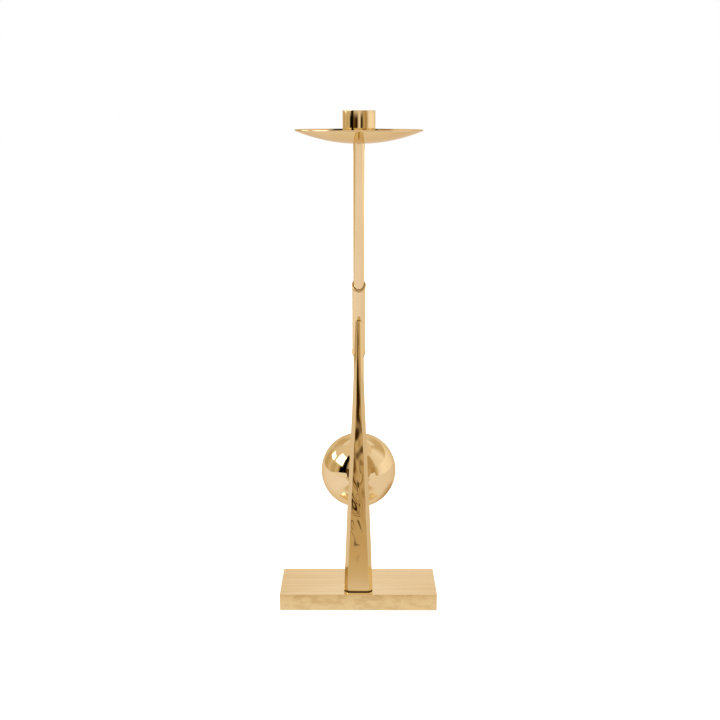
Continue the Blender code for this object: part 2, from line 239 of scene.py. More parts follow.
class Sheet:
    """A node tree to write on."""

    def __init__(self, tree):
        self.tree = tree
        tree.nodes.clear()

    def add(self, kind, settings=None, values=None, out=0):
        """A node of a kind. Its settings come first; stops are a ramp's (place, colour) pairs.
        Then its sockets get numbers or wires, and one output comes back as a wire."""
        node = self.tree.nodes.new(kind)
        for name, setting in (settings or {}).items():
            if name == "stops":
                self.set_stops(node.color_ramp, setting)
            else:
                setattr(node, name, setting)
        for name, value in (values or {}).items():
            if isinstance(value, Wire):
                self.tree.links.new(value.socket, node.inputs[name])
            else:
                node.inputs[name].default_value = value
        return Wire(self, node.outputs[out]) if len(node.outputs) else node

    @staticmethod
    def set_stops(ramp, stops):
        """A new ramp has two stops already, so only the third and later ones are added."""
        for number, (place, colour) in enumerate(stops):
            stop = ramp.elements[number] if number < 2 else ramp.elements.new(place)
            stop.position = place
            stop.color = (*colour, 1.0)

    def mix(self, share, first, second):
        """A colour that goes from the first to the second as share goes from 0 to 1."""
        first, second = (c if isinstance(c, Wire) else (*c, 1.0) for c in (first, second))
        return self.add("ShaderNodeMix", {"data_type": "RGBA"}, {0: share, 6: first, 7: second}, out=2)

    def place(self, turn_x=0.0, stretch=(1.0, 1.0, 1.0)):
        """The object's own coordinates, turned back about X and stretched along each axis."""
        own = self.add("ShaderNodeTexCoord", out="Object")
        values = {"Vector": own, "Rotation": (-turn_x, 0.0, 0.0)}
        level = self.add("ShaderNodeMapping", {"vector_type": "POINT"}, values)
        return self.add("ShaderNodeMapping", {"vector_type": "POINT"}, {"Vector": level, "Scale": stretch})

    def noise(self, where, scale, detail=2.0):
        """A cloudy value from 0 to 1, with about scale clouds to a metre and detail finer layers."""
        return self.add("ShaderNodeTexNoise", {}, {"Vector": where, "Scale": scale, "Detail": detail})


# %% [markdown]
# ## Brass
#
# All the metal that shows is one alloy, a yellow brass without lacquer. A metal has no colour of its
# own under its shine: the Base Color only tints what it reflects. So that colour is close to how
# clean brass reflects white light, and warm lamps in the studio give the rest of the gold. What
# differs from piece to piece is how it was finished: a roughness, a bump, and a duller tint where it
# was handled, filed or left satin. Some tints are painted light and shade: a dark line at the post's
# foot is painted shade, its sides are darkened partly as painted shade, and the base's top is painted
# lighter.

# %% Brass finishes
BRASS = (0.87, 0.74, 0.46)
# The post's sides and filed edges: a duller filed brass, darkened further as painted shade.
BRASS_DULL = (0.82, 0.675, 0.40)
BRASS_FILED_AND_SHADED = (0.745, 0.60, 0.32)
# Lighter than clean brass: painted light for the base's upward-facing top.
BRASS_GROUND_AND_LIT = (0.94, 0.84, 0.60)
BRASS_BEAD = (0.66, 0.53, 0.28)
# Painted shade: the near-black colour of the line at the post's foot, in its corner with the base.
FOOT_SHADE_COLOUR = (0.10, 0.05, 0.015)
GLANCE = (0.82, 0.72, 0.56, 1.0)
HANDLED_PATCHES = 38.0
HANDLED = (0.42, 0.68)
# How far a face must point sideways to get the filed brass with painted shade.
FILED_AND_SHADED_SIDES = (0.40, 0.60)


def material(name):
    """A new material, and the sheet that its nodes are written on."""
    made = bpy.data.materials.new(name)
    made.use_nodes = True
    return made, Sheet(made.node_tree)


def shade(sheet, values):
    """One shader and the output. A metal seen at a low angle turns white, and the glance tint holds
    it to its own colour there."""
    if values.get("Metallic") == 1.0:
        values = values | {"Specular Tint": GLANCE}
    shader = sheet.add("ShaderNodeBsdfPrincipled", {}, values)
    sheet.add("ShaderNodeOutputMaterial", {}, {"Surface": shader})


def bump(sheet, height, distance):
    return sheet.add("ShaderNodeBump", {}, {"Height": height, "Distance": distance, "Strength": 1.0})


def brass(
    name, marks, shine, marks_depth, haze=0.03, turn_x=0.0, dullness=0.35, shade_line_below=None, beaded=False
):
    """Polished brass. Marks is how the polishing marks are squeezed along each axis, per metre, and
    shine its lowest roughness; haze is how much rougher it is where it has been handled. A piece
    given a foot height gets a dark, slightly rougher line of painted shade below it, in the corner
    with the next piece, and its sides and filed edges get a darker brass: a dull filed finish with
    painted shade on it. A beaded piece is duller where its attribute says so."""
    made, sheet = material(name)
    fine = sheet.noise(sheet.place(turn_x, marks), 1.0, 3.0)
    worn = sheet.noise(sheet.place(), HANDLED_PATCHES, 3.0).step(*HANDLED)
    colour = sheet.mix(worn * dullness, BRASS, BRASS_DULL)
    roughness = shine + worn * haze + fine * (shine * 0.6)
    if beaded:
        bead = sheet.add("ShaderNodeAttribute", {"attribute_name": "bead"}, out="Fac")
        colour = sheet.mix(bead, colour, BRASS_BEAD)
        roughness = roughness + bead * 0.12
    if shade_line_below is not None:
        # The sides and filed edges, picked by how far they face sideways, get a darker brass: a dull filed
        # finish with painted shade on it.
        facing = sheet.add("ShaderNodeNewGeometry", out="Normal")
        side = sheet.add("ShaderNodeSeparateXYZ", {}, {0: facing}, out="X")
        across = sheet.add("ShaderNodeMath", {"operation": "ABSOLUTE"}, {0: side})
        colour = sheet.mix(across.step(*FILED_AND_SHADED_SIDES) * 0.9, colour, BRASS_FILED_AND_SHADED)
        # Painted shade: a dark, slightly rougher line just above the post's foot, where it meets the base.
        height = sheet.add("ShaderNodeSeparateXYZ", {}, {0: sheet.place()}, out="Z")
        painted_foot_shade = 1 - height.step(shade_line_below - 0.2 * MM, shade_line_below + 0.1 * MM)
        colour = sheet.mix(painted_foot_shade, colour, FOOT_SHADE_COLOUR)
        roughness = roughness + painted_foot_shade * 0.3
    normal = bump(sheet, fine, marks_depth)
    shade(sheet, {"Base Color": colour, "Metallic": 1.0, "Roughness": roughness, "Normal": normal})
    return made


# %% [markdown]
# ## The post
#
# The post is a bar filed to a spike: both its width and its depth shrink to the tip, its back stays
# upright, and its four long edges are filed off. Then it is polished by hand on a wheel, which never
# leaves a true flat: it crowns the face a little and leaves ripples, and these make the dark and
# light reflections run and loop. A bump would bend the reflections too, but it would leave the mesh
# flat, so they are real shape here: a sum of sine waves whose height grows with their length, which
# keeps all their slopes alike. A thin dark line of painted shade marks the corner at the foot, and
# the sides and filed edges get a darker brass, partly painted shade.

# %% Make the post
POST_FOOT_SIZE = (24.4 * MM, 15.3 * MM)
POST_TIP_SIZE = (5.3 * MM, 6.0 * MM)
POST_SWAY = 0.028
POST_CHAMFER = 2.8 * MM
POST_CHAMFER_SHARE = 0.27
POST_TIP_ROUND = 0.3 * MM
POST_FOOT_ROUND = 0.1 * MM
EDGE_SOFTNESS = 0.42 * MM
EDGE_POINTS = 6
POST_RINGS = 458
POST_RUNS = (14, 3, 10, 3, 14, 3, 30, 3)
SEAT_RADIUS = 5.7 * MM
CROWN = 0.060
CROWN_FROM = 30.0 * MM
CROWN_RISE = 5.0 * MM
RIPPLE_COUNT = 22
RIPPLE_LENGTHS = (6.0 * MM, 14.0 * MM)
RIPPLE_SLOPE = 0.085
RIPPLE_DRAWN_OUT = 2.6
RIPPLE_LEVEL = 102.0 * MM
RIPPLE_REACH = 42.0 * MM
RIPPLE_FROM = 48.0 * MM
RIPPLE_RISE = 6.0 * MM
FAINT = 0.12
# How high the painted shade line at the post's foot reaches.
FOOT_SHADE_HEIGHT = 0.8 * MM
random = np.random.default_rng(12)


def post_corners(share, inset):
    """The eight corners of the section at shares of the height: a rectangle whose width follows a
    straight taper less a small sine, and whose front leans back while its back stays upright."""
    taper = share - POST_SWAY * np.sin(math.tau * share)
    width = POST_FOOT_SIZE[0] - (POST_FOOT_SIZE[0] - POST_TIP_SIZE[0]) * taper
    depth = POST_FOOT_SIZE[1] - (POST_FOOT_SIZE[1] - POST_TIP_SIZE[1]) * share
    chamfer = np.minimum(POST_CHAMFER, POST_CHAMFER_SHARE * width)
    x, y = width / 2 - inset, depth / 2 - inset
    across = np.stack([x, x, x - chamfer, chamfer - x, -x, -x, chamfer - x, x - chamfer], -1)
    along = np.stack([chamfer - y, y - chamfer, y, y, y - chamfer, chamfer - y, -y, -y], -1)
    return np.stack([across, along + (POST_HIGH[1] - depth / 2)[:, None]], -1)


def soft_outline(corners, softness, runs):
    """Each corner is a quadratic curve from one side to the other, (1-b)^2 A + 2b(1-b) C + b^2 B,
    and each straight run between two corners is divided into its own number of steps."""
    behind, ahead = np.roll(corners, 1, 1), np.roll(corners, -1, 1)
    start, end = (
        corners + softness * (other - corners) / np.linalg.norm(other - corners, axis=-1, keepdims=True)
        for other in (behind, ahead)
    )
    parts = []
    for number, steps in enumerate(runs):
        b = np.linspace(0.0, 1.0, EDGE_POINTS)[None, :, None]
        here = corners[:, number, None]
        curve = (1 - b) ** 2 * start[:, number, None] + 2 * b * (1 - b) * here + b**2 * end[:, number, None]
        following = start[:, (number + 1) % len(runs), None]
        run = np.linspace(0.0, 1.0, steps + 1)[None, 1:-1, None]
        parts += [curve, end[:, number, None] * (1 - run) + following * run]
    return np.concatenate(parts, 1)


def ripples(across, up, count, shortest, longest, slope, drawn_out=1.0):
    """A sum of sine waves of random length and direction. Each is slope * length / tau high, so that
    all are equally steep. Drawn out, they are that many times as long upwards as across."""
    total = np.zeros_like(across)
    for _ in range(count):
        length = shortest * (longest / shortest) ** random.random()
        tilt = math.pi * random.random()
        wave = math.tau / length * (up / drawn_out * math.cos(tilt) + across * math.sin(tilt))
        total += slope * length / math.tau * np.sin(wave + math.tau * random.random())
    return total / math.sqrt(count / 2)


def post_rings():
    """The post's sections from foot to tip. At both ends a quarter circle rounds the edge: the inset
    follows one of its coordinates and the height the other."""
    height = POST_HIGH[2] - POST_LOW[2]
    foot_turn = np.linspace(0.0, math.pi / 2, 5)
    foot_share = POST_FOOT_ROUND * (1 - np.cos(foot_turn)) / height
    foot_inset = POST_FOOT_ROUND * (1 - np.sin(foot_turn))
    tip_turn = np.linspace(0.0, math.pi / 2, 7)
    tip_share = 1 - POST_TIP_ROUND * (1 - np.sin(tip_turn)) / height
    tip_inset = POST_TIP_ROUND * (1 - np.cos(tip_turn))
    between = np.linspace(foot_share[-1], tip_share[0], POST_RINGS + 2)[1:-1]
    share = np.concatenate([foot_share, between, tip_share])
    inset = np.concatenate([foot_inset, np.zeros(POST_RINGS), tip_inset])
    outline = soft_outline(post_corners(share, inset), EDGE_SOFTNESS, POST_RUNS)
    z = POST_LOW[2] + share * height
    return np.concatenate([outline, np.broadcast_to(z[:, None, None], (*outline.shape[:2], 1))], -1)


def rise(height, middle, softness):
    """From 0 to 1 round the middle height: 1 / (1 + e^-t), with t the distance over the softness."""
    return 1 / (1 + np.exp(-(height - middle) / softness))


def hand_polish(rings):
    """Moves each point along its outward normal. The front is crowned by a parabola across its flat,
    and ripples run over every face: strong on the front a hand above the base, and faint on the
    sides, at the foot and at the tip."""
    ahead = np.roll(rings, -1, 1) - np.roll(rings, 1, 1)
    outward = np.stack([ahead[..., 1], -ahead[..., 0]], -1)
    outward /= np.linalg.norm(outward, axis=-1, keepdims=True)
    x, y, z = np.moveaxis(rings, -1, 0)
    half = np.abs(x).max(1, keepdims=True)
    facing = np.clip(-outward[..., 1], 0.0, 1.0) ** 4
    above_foot = rise(z, CROWN_FROM, CROWN_RISE)
    crown = half * CROWN * (1 - (x / half) ** 2) * facing * (0.25 + 0.75 * above_foot)
    strong = FAINT + (1 - FAINT) * np.exp(-(((z - RIPPLE_LEVEL) / RIPPLE_REACH) ** 2))
    strong *= rise(z, RIPPLE_FROM, RIPPLE_RISE)
    wave = ripples(x + 0.7 * y, z, RIPPLE_COUNT, *RIPPLE_LENGTHS, RIPPLE_SLOPE, RIPPLE_DRAWN_OUT)
    move = crown + wave * strong * (0.25 + 0.75 * facing)
    rings = rings.copy()
    rings[..., :2] += outward * move[..., None]
    return rings


def seat_for_sleeve(rings):
    """Points closer to the arm's axis than the seat's radius are pushed out to it."""
    offset = rings - AXIS_POINT
    axis = np.array([0.0, -math.sin(LEAN), math.cos(LEAN)])
    along = offset @ axis
    radial = offset - along[..., None] * axis
    distance = np.linalg.norm(radial, axis=-1, keepdims=True)
    return rings + radial / distance * np.maximum(SEAT_RADIUS - distance, 0.0)


def capped(rings):
    """Adds a pole in the middle of the first and of the last ring."""
    ends = [np.broadcast_to(ring.mean(0), ring.shape) for ring in (rings[0], rings[-1])]
    return np.concatenate([ends[0][None], rings, ends[1][None]])


post_marks = (260.0, 260.0, 1600.0)
# The painted shade line at the foot ends this far above the post's lowest point.
shade_line_height = POST_LOW[2] + FOOT_SHADE_HEIGHT
post_brass = brass("hand_polished_brass", post_marks, 0.03, 0.002 * MM, haze=0.02, shade_line_below=shade_line_height)
post = skin("polished_post", capped(seat_for_sleeve(hand_polish(post_rings()))))
finished(post, "stand", "post", post_brass)

# %% [markdown]
# ## Ball, rod and sleeve
#
# The ball is solid and mirror-bright, so it shows the whole room: it needs the most even surface
# of all, and so it is turned as one fine arc, with a small socket for the rod at its top. The rod
# and the sleeve are drawn bar and tube, polished along their length. The sleeve's ends are cut on
# a slant and dressed with a round bead, made level first and then sheared to the slant.

# %% Make the ball
BALL_DOWN = 147.0 * MM
SOCKET_RADIUS = 4.75 * MM
SOCKET_DEPTH = 6.0 * MM
SOCKET_LIP = (0.25 * MM, 0.15 * MM)
GAP = 0.3 * MM
ROD_END = BALL_DOWN - math.sqrt(BALL_RADIUS**2 - SOCKET_RADIUS**2) + SOCKET_DEPTH
socket_angle = math.acos(SOCKET_RADIUS / BALL_RADIUS)
lip_angle = SOCKET_LIP[0] / BALL_RADIUS
profile = arc((0.0, -BALL_DOWN), BALL_RADIUS, -math.pi / 2, socket_angle - lip_angle, 120)
profile[0][0] = 0.0
profile += [
    np.array((SOCKET_RADIUS, profile[-1][1] - SOCKET_LIP[1])),
    np.array((SOCKET_RADIUS, -ROD_END - GAP)),
    np.array((0.0, -ROD_END - GAP)),
]
ball_brass = brass("mirror_brass", (45.0, 45.0, 45.0), 0.03, 0.02 * MM, haze=0.02, dullness=0.2)
ball = skin("mirror_ball", on_arm(turn(profile, 192)))
finished(ball, "arm", "ball", ball_brass)

# %% Make the rod
ROD_CHAMFER = 0.5 * MM
rod_top = (DISH_LOW[2] - GAP - AXIS_POINT[2]) / math.cos(LEAN)
side = [(ROD_RADIUS, z) for z in np.linspace(ROD_CHAMFER - ROD_END, rod_top, 60)]
profile = [(0.0, -ROD_END), (ROD_RADIUS - ROD_CHAMFER, -ROD_END), *side, (0.0, rod_top)]
rings = turn(profile, 96)
# The last two rings are tipped back by the lean, so that the rod's head is level under the dish.
rings[-2:, :, 2] -= rings[-2:, :, 1] * math.tan(LEAN)
rod_brass = brass("drawn_brass", (900.0, 900.0, 8.0), 0.10, 0.006 * MM, haze=0.04, turn_x=LEAN)
rod = skin("drawn_rod", on_arm(rings))
finished(rod, "arm", "rod", rod_brass)

# %% Make the sleeve
SLEEVE_RADIUS = 5.4 * MM
SLEEVE_BORE = 4.9 * MM
SLEEVE_UP = 29.65 * MM
SLEEVE_DOWN = 31.7 * MM
SLEEVE_SLANT = math.tan(math.radians(30.0))
BEAD_LENGTH = 2.0 * MM
BORE_EDGE = 0.1 * MM


def bead_side(middle):
    """The outside of a bead: a half ellipse from its lower to its upper edge."""
    unit = np.array(arc((0.0, 0.0), 1.0, -math.pi / 2, math.pi / 2, 20))
    return list(np.array((SLEEVE_RADIUS, middle)) + unit * ((BEAD_RADIUS - SLEEVE_RADIUS), BEAD_LENGTH / 2))


lengths = np.linspace(2 * BEAD_LENGTH - SLEEVE_DOWN, SLEEVE_UP - 2 * BEAD_LENGTH, 24)
profile = [
    (SLEEVE_BORE + BORE_EDGE, -SLEEVE_DOWN),
    *bead_side(BEAD_LENGTH / 2 - SLEEVE_DOWN),
    *((SLEEVE_RADIUS, z) for z in lengths),
    *bead_side(SLEEVE_UP - BEAD_LENGTH / 2),
    (SLEEVE_BORE + BORE_EDGE, SLEEVE_UP),
    (SLEEVE_BORE, SLEEVE_UP - BORE_EDGE),
    (SLEEVE_BORE, SLEEVE_UP - BEAD_LENGTH),
    (SLEEVE_BORE, BEAD_LENGTH - SLEEVE_DOWN),
    (SLEEVE_BORE, BORE_EDGE - SLEEVE_DOWN),
]
rings = turn(profile, 96)
x, y, z = np.moveaxis(rings, -1, 0)
on_bead = (x**2 + y**2 > (SLEEVE_RADIUS + 0.02 * MM) ** 2).astype(float)
near_end = (z > SLEEVE_UP - 1.5 * BEAD_LENGTH) | (z < 1.5 * BEAD_LENGTH - SLEEVE_DOWN)
rings[..., 2] += np.where(near_end, SLEEVE_SLANT * y, 0.0)
sleeve_marks = (900.0, 900.0, 10.0)
sleeve_brass = brass("sleeve_brass", sleeve_marks, 0.09, 0.006 * MM, haze=0.04, turn_x=LEAN, beaded=True)
sleeve = skin("beaded_sleeve", on_arm(rings), looped=True)
sleeve.data.attributes.new("bead", "FLOAT", "POINT").data.foreach_set("value", on_bead.ravel())
finished(sleeve, "stand", "sleeve", sleeve_brass)

# %% [markdown]
# ## Dish and cup
#
# The dish is spun from sheet, which makes it part of a sphere with a rounded edge, and the cup is
# turned from bar. Both are turned profiles about the upright line through the rod's head. Spinning
# and turning leave faint rings, so their marks are squeezed in height and run round the piece.

# %% Make the dish
DISH_SPHERE = 128.0 * MM
DISH_WALL = 1.2 * MM
DISH_FLAT = 9.0 * MM
DISH_HOLE = 1.8 * MM


def at_head(points):
    """From a frame on the upright line through the rod's head to the holder's frame."""
    return points + np.array((0.0, HEAD_Y, 0.0))


dish_radius = DISH_SIZE[0] / 2
dish_bottom = DISH_LOW[2]
sag = DISH_SPHERE - math.sqrt(DISH_SPHERE**2 - DISH_FLAT**2)
centre = (0.0, dish_bottom - sag + DISH_SPHERE)
middle_sphere = DISH_SPHERE - DISH_WALL / 2
edge = math.asin((dish_radius - DISH_WALL / 2) / middle_sphere)
down = -math.pi / 2
edge_centre = arc(centre, middle_sphere, down + edge, 0.0, 1)[0]
outer = arc(centre, DISH_SPHERE, down + math.asin(DISH_FLAT / DISH_SPHERE), down + edge, 48)
rim = arc(edge_centre, DISH_WALL / 2, down + edge, down + edge + math.pi, 14)[1:-1]
inner_sphere = DISH_SPHERE - DISH_WALL
inner = arc(centre, inner_sphere, down + edge, down + math.asin(DISH_FLAT / inner_sphere), 48)
profile = [(DISH_HOLE, dish_bottom), *outer, *rim, *inner, (DISH_HOLE, inner[-1][1])]
dish_brass = brass("spun_brass", (30.0, 30.0, 2600.0), 0.03, 0.001 * MM, haze=0.03)
dish = skin("spun_dish", at_head(turn(profile, 192)), looped=True)
finished(dish, "arm", "dish", dish_brass)

# %% Make the cup
CUP_BORE = 11.3 * MM
CUP_FLOOR = 4.5 * MM
CUP_FOOT_ROUND = 3.0 * MM
CUP_SINK_RADIUS = 4.4 * MM
CUP_SINK_DEPTH = 3.1 * MM
CUP_LIP_ROUND = (0.3 * MM, 0.4 * MM)
CUP_FLOOR_ROUND = 1.0 * MM
CUP_SINK_ROUND = 0.2 * MM
cup_radius = CUP_SIZE[0] / 2
low, top = CUP_LOW[2], CUP_HIGH[2]
floor_level = low + CUP_FLOOR
profile = rounded(
    [
        (DISH_HOLE, low, 0.0),
        (cup_radius, low, CUP_FOOT_ROUND),
        (cup_radius, top, CUP_LIP_ROUND[0]),
        (CUP_BORE, top, CUP_LIP_ROUND[1]),
        (CUP_BORE, floor_level, CUP_FLOOR_ROUND),
        (CUP_SINK_RADIUS, floor_level, CUP_SINK_ROUND),
        (CUP_SINK_RADIUS, floor_level - CUP_SINK_DEPTH, 0.0),
        (DISH_HOLE, floor_level - CUP_SINK_DEPTH, 0.0),
    ],
    steps=12,
)
cup_brass = brass("turned_brass", (60.0, 60.0, 1500.0), 0.03, 0.0012 * MM, haze=0.02)
cup = skin("turned_cup", at_head(turn(profile, 160)), looped=True)
finished(cup, "arm", "cup", cup_brass)

# %% [markdown]
# ## Base and felt
#
# The base is a slab of bar, its top ground along its length and its sides left satin: less bright
# and a little cloudy. Its top is also given a brass lighter than clean brass, which is painted light.
# It is a stack of rounded rectangles, drawn in at the edges. The felt pad under it is pressed wool,
# cut with a blade, so its edge is soft and never quite straight.

# %% Make the base plate
PLAN_ROUND = 0.3 * MM
PLATE_EDGE = 0.18 * MM
PLATE_RUNS = (40, 100, 40, 100)
BRASS_CLOUDED = (0.73, 0.59, 0.33)


def slab_rings(low, high, edge_round, plan_round, runs):
    """Rounded rectangles stacked up: each edge is a quarter circle, inset 1 - sin(turn) of its round
    and 1 - cos(turn) of it along the height."""
    turns = np.linspace(0.0, math.pi / 2, 6)
    inset = edge_round * np.concatenate([1 - np.sin(turns), 1 - np.sin(turns[::-1])])
    climb = edge_round * (1 - np.cos(turns))
    height = np.concatenate([low[2] + climb, high[2] - climb[::-1]])
    x, y = (high[0] - low[0]) / 2 - inset, (high[1] - low[1]) / 2 - inset
    corners = np.stack([np.stack(pair, -1) for pair in ((x, -y), (x, y), (-x, y), (-x, -y))], 1)
    outline = soft_outline(corners, plan_round, runs)
    return np.concatenate([outline, np.broadcast_to(height[:, None, None], (*outline.shape[:2], 1))], -1)


plate_rings = slab_rings(BASE_LOW, BASE_HIGH, PLATE_EDGE, PLAN_ROUND, PLATE_RUNS)
plate = skin("satin_base", capped(plate_rings))


def ground_brass():
    """Ground along X on top, and satin on the sides: there the roughness is high and cloudy. The top,
    picked by facing up, also gets a brass lighter than clean brass, which is painted light.
    """
    made, sheet = material("ground_brass")
    level = sheet.add("ShaderNodeNewGeometry", out="Normal")
    up = sheet.add("ShaderNodeSeparateXYZ", {}, {0: level}, out="Z").step(0.5, 0.9)
    lines = sheet.noise(sheet.place(stretch=(6.0, 420.0, 420.0)), 1.0, 4.0)
    clouds = sheet.noise(sheet.place(stretch=(1.0, 1.0, 2.0)), 85.0, 4.0).step(0.40, 0.66)
    grain = sheet.noise(sheet.place(), 900.0, 3.0)
    side_colour = sheet.mix(clouds * 0.8, BRASS, BRASS_CLOUDED)
    # The upward-facing top gets a brass lighter than clean brass, which is painted light, with the ground
    # lines over it.
    lit_top_colour = sheet.mix(lines.step(0.40, 0.70) * 0.75, BRASS_GROUND_AND_LIT, BRASS)
    side_rough = 0.24 + clouds * 0.12
    top_rough = 0.10 + lines * 0.10
    colour = sheet.mix(up, side_colour, lit_top_colour)
    roughness = side_rough * (1 - up) + top_rough * up
    normal = bump(sheet, grain * (1 - up) + lines * up, 0.012 * MM)
    shade(sheet, {"Base Color": colour, "Metallic": 1.0, "Roughness": roughness, "Normal": normal})
    return made


finished(plate, "stand", "base_plate", ground_brass())

# %% Make the felt pad
FELT_DARK = (0.012, 0.022, 0.015)
FELT_LIGHT = (0.06, 0.09, 0.065)
FELT_EDGE = 0.2 * MM
FELT_CORNER = 1.0 * MM
FELT_RUNS = (60, 160, 60, 160)
FRINGE_LENGTHS = (1.5 * MM, 7 * MM)


def felt():
    """Dark green wool: short fibres lie in all directions, lighter where they stand up."""
    made, sheet = material("pressed_wool_felt")
    fibre = sheet.noise(sheet.place(), 1400.0, 5.0)
    patch = sheet.noise(sheet.place(), 120.0, 2.0)
    colour = sheet.mix(fibre * 0.7 + patch * 0.3, FELT_DARK, FELT_LIGHT)
    normal = bump(sheet, fibre, 0.15 * MM)
    shade(sheet, {"Base Color": colour, "Roughness": 0.95, "Sheen Weight": 0.4, "Normal": normal})
    return made


felt_low, felt_high = box_size("felt_pad")[:2]
rings = slab_rings(felt_low, felt_high, FELT_EDGE, FELT_CORNER, FELT_RUNS)
# The fringe is cut back by the size of the ripples, so the pad never grows past its box.
fringe = np.abs(ripples(rings[..., 0] + rings[..., 1], rings[..., 2] * 9, 20, *FRINGE_LENGTHS, 0.12))
rings[..., :2] *= 1 - (fringe / np.linalg.norm(rings[..., :2], axis=-1))[..., None]
pad = skin("felt_pad_soft", capped(rings))
finished(pad, "stand", "felt_pad", felt())

# %% [markdown]
# ## Small parts
#
# The screws, the stud and the washer keep the frame's own solids, because their shapes are right
# and they are nearly hidden. They are zinc plated, so they are grey, a little blotchy and cool. The
# liner is natural nylon, which is waxy and off-white, and the peg is plain turned brass.

# %% Finish the kept parts


def zinc():
    """Zinc plate: grey crystals, some cool and some warm, and not all equally bright."""
    made, sheet = material("zinc_plate")
    blotch = sheet.noise(sheet.place(), 500.0, 4.0)
    colour = sheet.mix(blotch, (0.46, 0.47, 0.49), (0.66, 0.65, 0.62))
    values = {"Base Color": colour, "Metallic": 1.0, "Roughness": 0.24 + blotch * 0.16}
    shade(sheet, values)
    return made


def nylon():
    """Natural nylon: off-white and slightly cloudy, with a little light passing through it."""
    made, sheet = material("natural_nylon")
    cloud = sheet.noise(sheet.place(), 300.0, 2.0)
    colour = sheet.mix(cloud, (0.74, 0.71, 0.62), (0.84, 0.82, 0.75))
    values = {"Base Color": colour, "Roughness": 0.42 + cloud * 0.1, "Subsurface Weight": 0.1}
    shade(sheet, values)
    return made


def give(nodes, made):
    """The kept solids take this material in place of the frame's own."""
    for name in nodes:
        slots = frame["nodes"][name].data.materials
        slots.clear()
        slots.append(made)


give(("post_screw_1", "post_screw_2", "ball_stud", "cup_washer", "cup_screw"), zinc())
give(("friction_liner",), nylon())
give(("sleeve_peg",), brass("turned_peg_brass", (300.0, 300.0, 300.0), 0.14, 0.01 * MM))
print("kept parts:", [n for n in frame["nodes"] if not frame["nodes"][n].hide_render])

# %% [markdown]
# ## The studio
#
# Polished metal is a picture of the room, so the room is the main tool here. An image of a room
# could light it, but one that is written out can be shaped for each piece. The holder stands in a
# round tent of pale cloth under warm lamps. At the cup's level the cloth has dark and tan stripes,
# for the cup, the rod and the ball. High on the left are two bright panes of a window, and high at
# the back are dark marks, for the dish. Low at the front the tent is open to a brown room with a few
# soft dark lines, which bend into loops in the rippled front of the post. The tent is a real wall a
# metre away, so that the ball low down and the cup high up see different stretches of it. Only
# reflections see it: the camera looks through it at plain white.

# %% Describe the tent
# Each list gives stops of (azimuth in degrees, colour): 0 is the front and 90 the right. In
# HIGH_BACK 0 is the back, and WALL_EDGE gives the height in metres where the cloth begins.
WHITE = (1.0, 1.0, 1.0)
BLACK = (0.0, 0.0, 0.0)
LAMP = (0.902, 0.770, 0.663)
COOL_WHITE = (1.03, 1.03, 1.14)
TAN = (0.92, 0.86, 0.74)
CUP_LEVEL_WALL = [
    (-180, WHITE),
    (-168, (0.96, 0.94, 0.90)),
    (-145, (0.92, 0.90, 0.82)),
    (-132, (0.66, 0.56, 0.34)),
    (-117, (0.68, 0.56, 0.35)),
    (-105, (0.86, 0.76, 0.60)),
    (-94, (0.70, 0.60, 0.40)),
    (-84, (0.62, 0.52, 0.34)),
    (-75, (0.80, 0.71, 0.48)),
    (-66, (0.60, 0.50, 0.30)),
    (-62, BLACK),
    (-42, BLACK),
    (-35, (0.17, 0.10, 0.03)),
    (-20, (0.04, 0.015, 0.0)),
    (-11, (0.06, 0.02, 0.0)),
    (-3, (0.90, 0.84, 0.80)),
    (7, (1.06, 1.06, 1.04)),
    (12, (0.10, 0.06, 0.02)),
    (22, (0.01, 0.0, 0.0)),
    (27, (0.45, 0.38, 0.18)),
    (35, (0.72, 0.56, 0.36)),
    (43, (0.50, 0.36, 0.17)),
    (51, (0.52, 0.36, 0.18)),
    (60, (0.72, 0.64, 0.42)),
    (66, (1.02, 1.0, 1.0)),
    (85, (1.2, 1.2, 1.2)),
    (130, (1.12, 1.12, 1.12)),
    (160, WHITE),
]
UPPER_WALL = [
    (-180, WHITE),
    (-168, (0.95, 0.90, 0.84)),
    (-155, (0.70, 0.60, 0.42)),
    (-140, (0.74, 0.64, 0.46)),
    (-120, (0.88, 0.84, 0.74)),
    (-58, (0.92, 0.86, 0.76)),
    (-54, BLACK),
    (-42, BLACK),
    (-36, (0.62, 0.52, 0.36)),
    (-25, (0.95, 0.92, 0.86)),
    (18, (0.90, 0.85, 0.76)),
    (30, (0.56, 0.42, 0.22)),
    (54, (0.60, 0.47, 0.28)),
    (62, (0.98, 0.96, 0.92)),
    (100, (1.08, 1.08, 1.08)),
    (122, (0.72, 0.62, 0.42)),
    (150, (0.76, 0.66, 0.48)),
    (168, (0.95, 0.90, 0.84)),
    (180, WHITE),
]
FRONT_OPENING = [
    (-180, WHITE),
    (-36, WHITE),
    (-33, (0.66, 0.53, 0.32)),
    (-8.5, (0.60, 0.47, 0.27)),
    (-6, (0.03, 0.01, 0.0)),
    (0, (0.05, 0.02, 0.0)),
    (2.5, (0.62, 0.49, 0.29)),
    (24, (0.68, 0.55, 0.34)),
    (36, WHITE),
]
